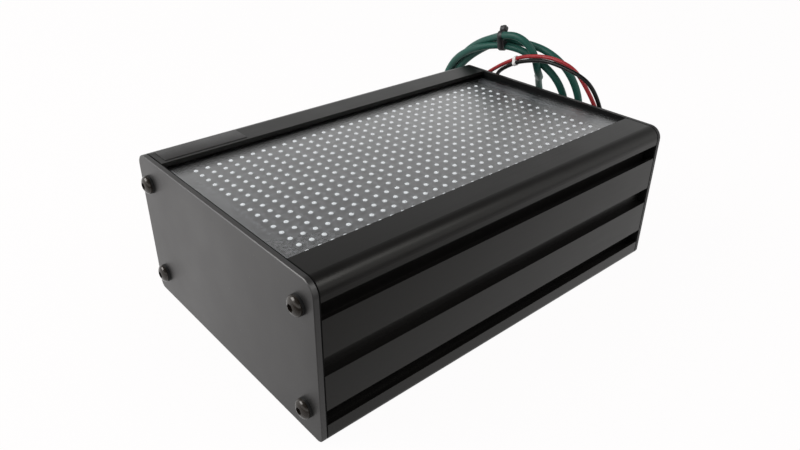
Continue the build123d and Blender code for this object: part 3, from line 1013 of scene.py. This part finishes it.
@dataclass
class DataCable:
    """The green data cable: lead from the gland, coil, tail and plug."""

    finishes: Finishes
    coil: DataCoil
    diameter: float = 5.6 * MM
    length: float = 1.16
    lead: tuple[Point, ...] = (
        (0.1583, 0.0340, 0.0330), (0.1693, 0.0340, 0.0330), (0.1800, 0.0362, 0.0369),
        (0.1882, 0.0407, 0.0442), (0.1925, 0.0466, 0.0548), (0.1915, 0.0505, 0.0674),
        (0.1863, 0.0497, 0.0795), (0.1791, 0.0450, 0.0882), (0.1722, 0.0409, 0.0914),
        (0.1634, 0.0311, 0.0932), (0.1515, 0.0257, 0.1030), (0.1474, 0.0276, 0.1187),
        (0.1439, 0.0404, 0.1280), (0.1435, 0.0564, 0.1252), (0.1478, 0.0652, 0.1216),
    )
    tail: tuple[Point, ...] = (
        (0.1725, 0.0885, 0.0052), (0.1790, 0.0785, 0.0030), (0.1865, 0.0685, 0.0029),
        (0.1955, 0.0595, 0.0033), (0.2058, 0.0524, 0.0040), (0.2165, 0.0479, 0.0040),
    )

    def build(self) -> Piece:
        """Return the cable.

        Returns:
            One curve from the gland to the plug.
        """
        cord = Cord("data_cable", self.diameter, self.finishes.green, "green_sheath")
        cable = cord.build([*self.lead, *self.coil.points(), *self.tail])
        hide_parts("data_lead", "data_coil", "data_tail")
        return cable


@dataclass
class SupplyWires:
    """The red and the black supply wire, from the grommet to their connector."""

    finishes: Finishes
    diameter: float = 3.0 * MM
    red_length: float = 0.348
    black_length: float = 0.345
    red: tuple[Point, ...] = (
        (0.1403, -0.03435, 0.0330), (0.1468, -0.03435, 0.0330), (0.1533, -0.03435, 0.0355),
        (0.1586, -0.03435, 0.0406), (0.1615, -0.03435, 0.0479), (0.1608, -0.03435, 0.0600),
        (0.1575, -0.0338, 0.0733), (0.1534, -0.0283, 0.0893), (0.1498, -0.0191, 0.1043),
        (0.1471, -0.0090, 0.1152), (0.1442, 0.0100, 0.1188), (0.1427, 0.0288, 0.1154),
        (0.1435, 0.0412, 0.1105), (0.1459, 0.0606, 0.0992), (0.1489, 0.0795, 0.0854),
        (0.1505, 0.0895, 0.0710), (0.1515, 0.0960, 0.0540), (0.1525, 0.0980, 0.0365),
        (0.1535, 0.0940, 0.0195), (0.1540, 0.0840, 0.0065), (0.1542, 0.0700, 0.0026),
        (0.1538, 0.0540, 0.0023), (0.1545, 0.0375, 0.0042), (0.1545, 0.0220, 0.0042),
    )
    black: tuple[Point, ...] = (
        (0.1403, -0.03765, 0.0330), (0.1465, -0.03765, 0.0330), (0.1528, -0.0380, 0.0353),
        (0.1577, -0.0381, 0.0399), (0.1610, -0.0381, 0.0467), (0.1611, -0.0378, 0.0590),
        (0.1552, -0.0395, 0.0720), (0.1507, -0.0374, 0.0843), (0.1466, -0.0311, 0.1021),
        (0.1438, -0.0213, 0.1116), (0.1419, 0.0006, 0.1156), (0.1411, 0.0145, 0.1159),
        (0.1414, 0.0332, 0.1107), (0.1423, 0.0436, 0.1058), (0.1445, 0.0573, 0.0971),
        (0.1484, 0.0637, 0.0898), (0.1493, 0.0767, 0.0776), (0.1500, 0.0860, 0.0655),
        (0.1502, 0.0920, 0.0500), (0.1502, 0.0935, 0.0340), (0.1500, 0.0895, 0.0180),
        (0.1498, 0.0795, 0.0064), (0.1496, 0.0660, 0.0026), (0.1499, 0.0524, 0.0023),
        (0.1495, 0.0370, 0.0042), (0.1495, 0.0220, 0.0042),
    )

    def build(self) -> list[Piece]:
        """Return the wires.

        Returns:
            The red and the black wire.
        """
        wires = []
        for colour, material, route in (("red", self.finishes.red, self.red),
                                        ("black", self.finishes.black, self.black)):
            cord = Cord(f"{colour}_supply_wire", self.diameter, material, f"{colour}_wire")
            wires.append(cord.build(route))
            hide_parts(f"{colour}_wire")
        return wires


@dataclass
class CableTie:
    """The tie round the three strands at the coil's top: strap, ratchet head and cut end."""

    finishes: Finishes
    coil: DataCoil
    cable: DataCable
    angle: float = 116.0
    # Angle, inset and shift of each strand under the strap, the outer two first and last
    strands: tuple[Point, ...] = ((118.3, -3.4, -5.5), (115.2, 6.1, -2.2), (116.0, 5.0, 4.2))
    slack: float = 0.05 * MM
    strap: float = 1.1 * MM
    strap_width: float = 3.9 * MM
    strap_edge: float = 0.22 * MM
    sides: int = 28
    head: Point = (5.6 * MM, 5.0 * MM, 4.4 * MM)
    head_edge: float = 1.3 * MM
    # Where the head stands on the way over the strands, and how deep it sits in the strap
    head_place: float = 0.04
    head_sink: float = 0.5 * MM
    mouth_wall: float = 0.35 * MM
    mouth_depth: float = 0.5 * MM
    stub: Point = (3.4 * MM, 1.3 * MM, 0.7 * MM)
    stub_taper: Point = (0.86, 0.7, 1.0)
    stub_edge: float = 0.2 * MM

    def middles(self) -> list[Vector]:
        """Return the middle of each strand under the strap."""
        return [self.coil.place(angle, inset * MM, shift * MM)
                for angle, inset, shift in self.strands]

    def axes(self) -> tuple[Vector, Vector, Vector]:
        """Return the tie's directions.

        Returns:
            The directions along the strands, over the outer two, and out from them.
        """
        before, after = (self.coil.place(self.angle + turn, 0.0, 0.0) for turn in (-1, 1))
        ahead, normal = after - before, self.coil.axes()[2]
        along = (ahead - normal * ahead.dot(normal)).normalized()
        first, _, last = self.middles()
        over = last - first
        over = (over - along * over.dot(along)).normalized()
        return along, over, along.cross(over)

    def loop(self) -> Piece:
        """Return the strap: the hull of three rods, opened at both ends and given its thickness.

        Returns:
            The strap.
        """
        along = self.axes()[0]
        radius = self.cable.diameter / 2 + self.slack + self.strap
        half = along * (self.strap_width / 2)
        strap = Workshop.joined(*(
            Workshop.rod("cable_tie", middle - half, middle + half, radius, self.sides)
            for middle in self.middles()
        ))
        with Workshop.faces(strap, lambda face: True):
            bpy.ops.mesh.convex_hull()
            bpy.ops.mesh.dissolve_limited(angle_limit=math.radians(1.0))
        with Workshop.faces(strap, lambda face: abs(face.normal.dot(along)) > FACING):
            bpy.ops.mesh.delete(type="ONLY_FACE")
        Workshop.modified(strap, "SOLIDIFY", thickness=self.strap, offset=-1.0)
        Workshop.rounded(strap, self.strap_edge)
        return strap

    def ratchet(self) -> Piece:
        """Return the head with its sunk mouth and the strap's cut end standing in it.

        Returns:
            The head.
        """
        half = Vector(self.head) / 2
        head = Workshop.block("tie_head", -half, half)
        Workshop.bevelled(head, self.head_edge, 3)
        with Workshop.faces(head, lambda face: face.center.z > half.z - SLIVER):
            bpy.ops.mesh.inset(thickness=self.mouth_wall)
            bpy.ops.transform.translate(value=(0.0, 0.0, -self.mouth_depth))
        wide, thick, tip = self.stub[0] / 2, self.stub[1] / 2, half.z + self.stub[2]
        stub = Workshop.block("tie_stub", (-wide, -thick, 0.0), (wide, thick, tip))
        with Workshop.faces(stub, lambda face: face.center.z > tip - SLIVER):
            bpy.ops.transform.resize(value=self.stub_taper)
        Workshop.rounded(stub, self.stub_edge)
        Workshop.smooth(head)
        head = Workshop.joined(head, stub)
        first, _, last = self.middles()
        axes = self.axes()
        out = self.cable.diameter / 2 + self.strap + half.z - self.head_sink
        Workshop.turned(head, placed(first.lerp(last, self.head_place) + axes[2] * out, *axes))
        return head

    def build(self) -> Piece:
        """Return the tie.

        Returns:
            Its strap and its head, as one piece.
        """
        tie = Workshop.joined(self.loop(), self.ratchet())
        tie.name = "cable_tie_strap"
        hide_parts("cable_tie")
        Workshop.dress(tie, self.finishes.tie, "tie_plastic")
        return tie


@dataclass
class DataPlug:
    """The plug on the data cable: ribbed boot, body with gold contacts and a latch.

    The fields ending in edge are the widths of rounded edges, low is the height of the body's
    underside from the cable's middle, and the nose is the open front of the body.
    """

    finishes: Finishes
    cable: DataCable
    boot: float = 10.0 * MM
    boot_radius: float = 3.1 * MM
    boot_sides: int = 28
    boot_edge: float = 0.18 * MM
    ribs: int = 5
    rib_sizes: Span = (0.92, 1.12)
    body: Point = (21.5 * MM, 11.7 * MM, 7.6 * MM)
    body_edge: float = 0.7 * MM
    low: float = -3.9 * MM
    nose_wall: float = 0.8 * MM
    nose_depth: float = 2.6 * MM
    latch: Point = (12.0 * MM, 3.2 * MM, 0.9 * MM)
    latch_back: float = 1.0 * MM
    latch_sink: float = 0.2 * MM
    latch_taper: Point = (1.0, 0.7, 0.4)
    latch_edge: float = 0.2 * MM
    contacts: int = 8
    contact_pitch: float = 1.02 * MM
    contact: Point = (2.0 * MM, 0.5 * MM, 0.8 * MM)
    contact_place: Span = (0.9 * MM, 1.6 * MM)
    contact_bend: Point = (0.4 * MM, 0.0, -0.5 * MM)
    contact_edge: float = 0.06 * MM

    def stand(self) -> Matrix:
        """Return where the plug stands: X out of the cable, Z up.

        Returns:
            The matrix that puts it there.
        """
        end, before = Vector(self.cable.tail[-1]), Vector(self.cable.tail[-2])
        ahead = (end - before).normalized()
        side = Vector((0.0, 0.0, 1.0)).cross(ahead).normalized()
        return placed(end, ahead, side, ahead.cross(side))

    def sleeve(self) -> Piece:
        """Return the boot: a ring extruded forwards, rib after rib.

        Returns:
            The boot.
        """
        step = self.boot / (2 * self.ribs)
        start, end = (0.0, 0.0, 0.0), (step, 0.0, 0.0)
        sleeve = Workshop.rod("plug_boot", start, end, self.boot_radius, self.boot_sides)
        for number in range(1, 2 * self.ribs):
            front, size = step * number - SLIVER, self.rib_sizes[number % 2]
            with Workshop.faces(sleeve, lambda face: face.normal.x > FACING and face.center.x > front):
                bpy.ops.mesh.extrude_region_move()
                bpy.ops.transform.resize(value=(1.0, size, size))
                Workshop.pushed((step, 0.0, 0.0))
        Workshop.rounded(sleeve, self.boot_edge)
        return sleeve

    def shell(self) -> Piece:
        """Return the body with its open nose and its latch.

        Returns:
            The body.
        """
        half, tip, top = self.body[1] / 2, self.boot + self.body[0], self.low + self.body[2]
        shell = Workshop.block("plug_body", (self.boot, -half, self.low), (tip, half, top))
        Workshop.bevelled(shell, self.body_edge, 3)
        with Workshop.faces(shell, lambda face: face.center.x > tip - SLIVER):
            bpy.ops.mesh.inset(thickness=self.nose_wall)
            bpy.ops.transform.translate(value=(-self.nose_depth, 0.0, 0.0))
        Workshop.smooth(shell)
        length, side, height = self.latch[0], self.latch[1] / 2, self.latch[2]
        latch = Workshop.block("plug_latch", (tip - length, -side, top - self.latch_sink),
                               (tip - self.latch_back, side, top + height))
        with Workshop.faces(latch, lambda face: face.normal.x > FACING):
            bpy.ops.transform.resize(value=self.latch_taper, center_override=(0.0, 0.0, top))
        Workshop.rounded(latch, self.latch_edge)
        return Workshop.joined(shell, latch)

    def pins(self) -> Piece:
        """Return the contacts: one strip with a bent tip, repeated across the nose.

        Returns:
            The contacts.
        """
        length, width, height = self.contact
        inward, base = self.contact_place
        tip = self.boot + self.body[0] - inward
        first = -(self.contacts - 1) * self.contact_pitch / 2
        pin = Workshop.block("plug_contacts", (tip - length, first - width / 2, base),
                             (tip, first + width / 2, base + height))
        with Workshop.faces(pin, lambda face: face.normal.x > FACING):
            Workshop.pushed(self.contact_bend)
        Workshop.repeated(pin, self.contacts, (0.0, self.contact_pitch, 0.0))
        Workshop.rounded(pin, self.contact_edge, 1)
        return pin

    def build(self) -> list[Piece]:
        """Return the plug's pieces, in their places.

        Returns:
            The boot, the body and the contacts.
        """
        pieces = [self.sleeve(), self.shell(), self.pins()]
        materials = (self.finishes.rubber, self.finishes.plug, self.finishes.contact)
        for piece, material in zip(pieces, materials):
            Workshop.turned(piece, self.stand())
            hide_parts("data_plug")
            Workshop.dress(piece, material, "plug_plastic")
        return pieces


@dataclass
class SupplyConnector:
    """The two-pole connector on the supply wires: block, two sockets, grip ribs and a catch.

    It opens towards lower y. Ribs and catch stand on its upper side, and their insets are
    counted from its box.
    """

    finishes: Finishes
    wall: float = 0.9 * MM
    depth: float = 7.0 * MM
    edge: float = 0.3 * MM
    ribs: int = 4
    rib_inset: float = 2.0 * MM
    rib_span: Span = (2.6 * MM, 1.7 * MM)
    rib_rise: float = 0.4 * MM
    rib_pitch: float = 1.8 * MM
    rib_taper: Point = (0.96, 0.6, 1.0)
    catch: float = 0.8 * MM
    catch_half: float = 2.0 * MM
    catch_span: Span = (1.5 * MM, 6.0 * MM)
    catch_taper: Point = (1.0, 1.0, 0.4)
    # How far the ribs and the catch reach down from the top of the box
    root: float = 1.4 * MM
    socket_offset: float = 2.5 * MM
    socket_radius: float = 1.5 * MM
    socket_sides: int = 24
    socket_span: Span = (0.8 * MM, 7.2 * MM)
    socket_wall: float = 0.4 * MM
    socket_bore: float = 4.0 * MM

    def block(self, low: Vector, high: Vector) -> Piece:
        """Return the hollow block with its ribs and its catch.

        Args:
            low: lowest corner of the connector's box.
            high: highest corner of it.

        Returns:
            The block.
        """
        roof, base, middle = high.z - self.catch, high.z - self.root, (low.x + high.x) / 2
        body = Workshop.block("supply_connector_body", low, (high.x, high.y, roof))
        with Workshop.faces(body, lambda face: face.normal.y < -FACING):
            bpy.ops.mesh.inset(thickness=self.wall)
            Workshop.pushed((0.0, self.depth, 0.0))
        back, front = (high.y - inset for inset in self.rib_span)
        rib = Workshop.block("connector_rib", (low.x + self.rib_inset, back, base),
                             (high.x - self.rib_inset, front, roof + self.rib_rise))
        with Workshop.faces(rib, lambda face: face.normal.z > FACING):
            bpy.ops.transform.resize(value=self.rib_taper)
        Workshop.repeated(rib, self.ribs, (0.0, -self.rib_pitch, 0.0))
        start, end = (low.y + inset for inset in self.catch_span)
        tongue = Workshop.block("connector_catch", (middle - self.catch_half, start, base),
                                (middle + self.catch_half, end, high.z))
        with Workshop.faces(tongue, lambda face: face.normal.y < -FACING):
            bpy.ops.transform.resize(value=self.catch_taper, center_override=(0.0, 0.0, base))
        body = Workshop.joined(body, rib, tongue)
        Workshop.rounded(body, self.edge)
        return body

    def socket(self, x: float, low: Vector, height: float) -> Piece:
        """Return one socket: a rod with a bore.

        Args:
            x: where it stands.
            low: lowest corner of the connector's box.
            height: height of its middle.

        Returns:
            The socket.
        """
        start, end = (low.y + inset for inset in self.socket_span)
        tube = Workshop.rod("connector_sockets", (x, start, height), (x, end, height),
                            self.socket_radius, self.socket_sides)
        with Workshop.faces(tube, lambda face: face.normal.y < -FACING):
            bpy.ops.mesh.inset(thickness=self.socket_wall)
            Workshop.pushed((0.0, self.socket_bore, 0.0))
        return tube

    def build(self) -> list[Piece]:
        """Return the connector's pieces.

        Returns:
            Its body and its two metal sockets, which are one piece.
        """
        low, high = (Vector(corner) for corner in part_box("supply_connector"))
        body = self.block(low, high)
        middle, height = (low.x + high.x) / 2, (low.z + high.z) / 2 - self.catch / 2
        sockets = Workshop.joined(*(self.socket(middle + side * self.socket_offset, low, height)
                                    for side in (-1, 1)))
        Workshop.smooth(sockets)
        for piece, material in ((body, self.finishes.plug), (sockets, self.finishes.metal)):
            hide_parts("supply_connector")
            Workshop.dress(piece, material, "plug_plastic")
        return [body, sockets]


@dataclass(frozen=True)
class Lamp:
    """A square lamp that points at the case: its middle, its side and its power in watts."""

    name: str
    place: Point
    side: float
    power: float

    def build(self) -> None:
        """Hang the lamp."""
        data = bpy.data.lights.new(self.name, "AREA")
        data.shape = "RECTANGLE"
        data.size = data.size_y = self.side
        data.energy = self.power
        lamp = bpy.data.objects.new(self.name, data)
        bpy.context.scene.collection.objects.link(lamp)
        lamp.location = self.place
        lamp.rotation_mode = "QUATERNION"
        lamp.rotation_quaternion = (-Vector(self.place)).to_track_quat("-Z", "Y")
        lamp.visible_camera = False


@dataclass
class Studio:
    """Pale floor, soft lights and the camera.

    Fields:
        camera_place, right, down, forward: the camera's place and the directions of its picture.
        focal_length, sensor: of the camera, in millimetres.
        clip: least and greatest distance that it shows.
        surroundings: light of the world on rough surfaces.
        floor_size, floor_height: side and height of the floor.
        floor_glow, floor_paper: colour of its glow, and of the paper that takes the shadow.
        floor_seen: share of the glow in what the camera sees of it.
        floor_level, floor_slope, floor_least: its brightness in reflections, which are its level
            at the case's middle, its rise for each metre along X and Y, and its least value.
        low_glow, high_glow: brightness of the surroundings in reflections, low down and overhead.
        glow_heights: where the one ends and the other begins.
    """

    camera_place: Point = (-0.27359, -0.30048, 0.27045)
    right: Point = (0.75448, -0.65624, 0.01011)
    down: Point = (-0.32296, -0.38462, -0.86473)
    forward: Point = (0.57136, 0.64916, -0.50213)
    focal_length: float = 31.70
    sensor: float = 36.0
    clip: Span = (0.01, 50.0)
    surroundings: float = 0.5
    floor_size: float = 12.0
    floor_height: float = -0.2 * MM
    floor_glow: Colour = (1.0, 0.99, 0.99)
    floor_paper: Colour = (0.86, 0.85, 0.85)
    floor_seen: float = 0.97
    floor_level: float = 1.0
    floor_slope: Span = (1.35, 2.6)
    floor_least: float = 0.12
    low_glow: float = 0.95
    high_glow: float = 0.13
    glow_heights: Span = (0.3, 0.62)
    lamps: tuple[Lamp, Lamp] = (
        Lamp("window_light", (-1.3, 0.9, 1.2), 1.2, 27.0),
        Lamp("room_light", (0.55, -0.95, 1.12), 0.6, 4.5),
    )

    def camera(self) -> None:
        """Place the camera as the photograph's."""
        data = bpy.data.cameras.new("camera")
        data.lens = self.focal_length
        data.sensor_width = self.sensor
        data.clip_start, data.clip_end = self.clip
        camera = bpy.data.objects.new("camera", data)
        bpy.context.scene.collection.objects.link(camera)
        camera.matrix_world = placed(
            Vector(self.camera_place), Vector(self.right), -Vector(self.down), -Vector(self.forward)
        )
        bpy.context.scene.camera = camera

    def floor(self) -> None:
        """Lay a white floor that keeps the object's soft shadow."""
        Workshop.pick()
        place = (0.0, 0.0, self.floor_height)
        bpy.ops.mesh.primitive_plane_add(size=self.floor_size, location=place)
        floor = bpy.context.object
        floor.name = "floor"
        shader = Shader("floor_white")
        path, parts = shader.add("LightPath").outputs, shader.parts()
        rises = (shader.math("MULTIPLY", part, rise) for part, rise in zip(parts, self.floor_slope))
        slope = shader.math("ADD", shader.math("ADD", *rises), self.floor_level)
        slope = shader.math("MAXIMUM", shader.math("MINIMUM", slope, 1.0), self.floor_least)
        strength = shader.math("MAXIMUM", slope, path["Is Camera Ray"])
        glow = shader.add("Emission", Color=self.floor_glow, Strength=strength)
        paper = shader.add("BsdfDiffuse", Color=self.floor_paper)
        seen = shader.math("MULTIPLY", path["Is Camera Ray"], self.floor_seen)
        shader.layers(shader.math("ADD", seen, path["Is Glossy Ray"]), paper, glow)
        Workshop.covered(floor, shader.material)

    def world(self) -> None:
        """Surround the object with even white, which reflections show darker overhead."""
        world = bpy.data.worlds.new("surroundings")
        bpy.context.scene.world = world
        world.use_nodes = True
        nodes = Nodes(world.node_tree, "OutputWorld")
        path = nodes.add("LightPath").outputs
        height = nodes.add("SeparateXYZ", Vector=nodes.places["Generated"]).outputs[Axis.Z]
        glow = nodes.between(height, self.low_glow, self.high_glow, *self.glow_heights)
        glow = nodes.between(path["Is Glossy Ray"], self.surroundings, glow, 0.0, 1.0)
        glow = nodes.math("MAXIMUM", path["Is Camera Ray"], glow)
        nodes.show(nodes.add("Background", Color=(1.0, 1.0, 1.0), Strength=glow))

    def build(self) -> None:
        """Make the floor, the world and the lamps."""
        self.floor()
        self.world()
        for lamp in self.lamps:
            lamp.build()
        bpy.context.scene.view_settings.view_transform = "Standard"
        log.info("studio built")


def main() -> None:
    """Build the display, part by part."""
    logging.basicConfig(level=logging.INFO, format="%(name)s: %(message)s")
    studio = Studio()
    studio.camera()
    finishes = Finishes()
    coil = DataCoil()
    cable = DataCable(finishes, coil)
    cable_piece = cable.build()
    wires = SupplyWires(finishes)
    red, black = wires.build()
    CaseLook(finishes).build()
    tie = CableTie(finishes, coil, cable).build()
    plug = DataPlug(finishes, cable).build()
    connector = SupplyConnector(finishes).build()
    LedLenses(finishes).build()
    LabelPlate(finishes).build()
    studio.build()


if __name__ == "__main__":
    main()
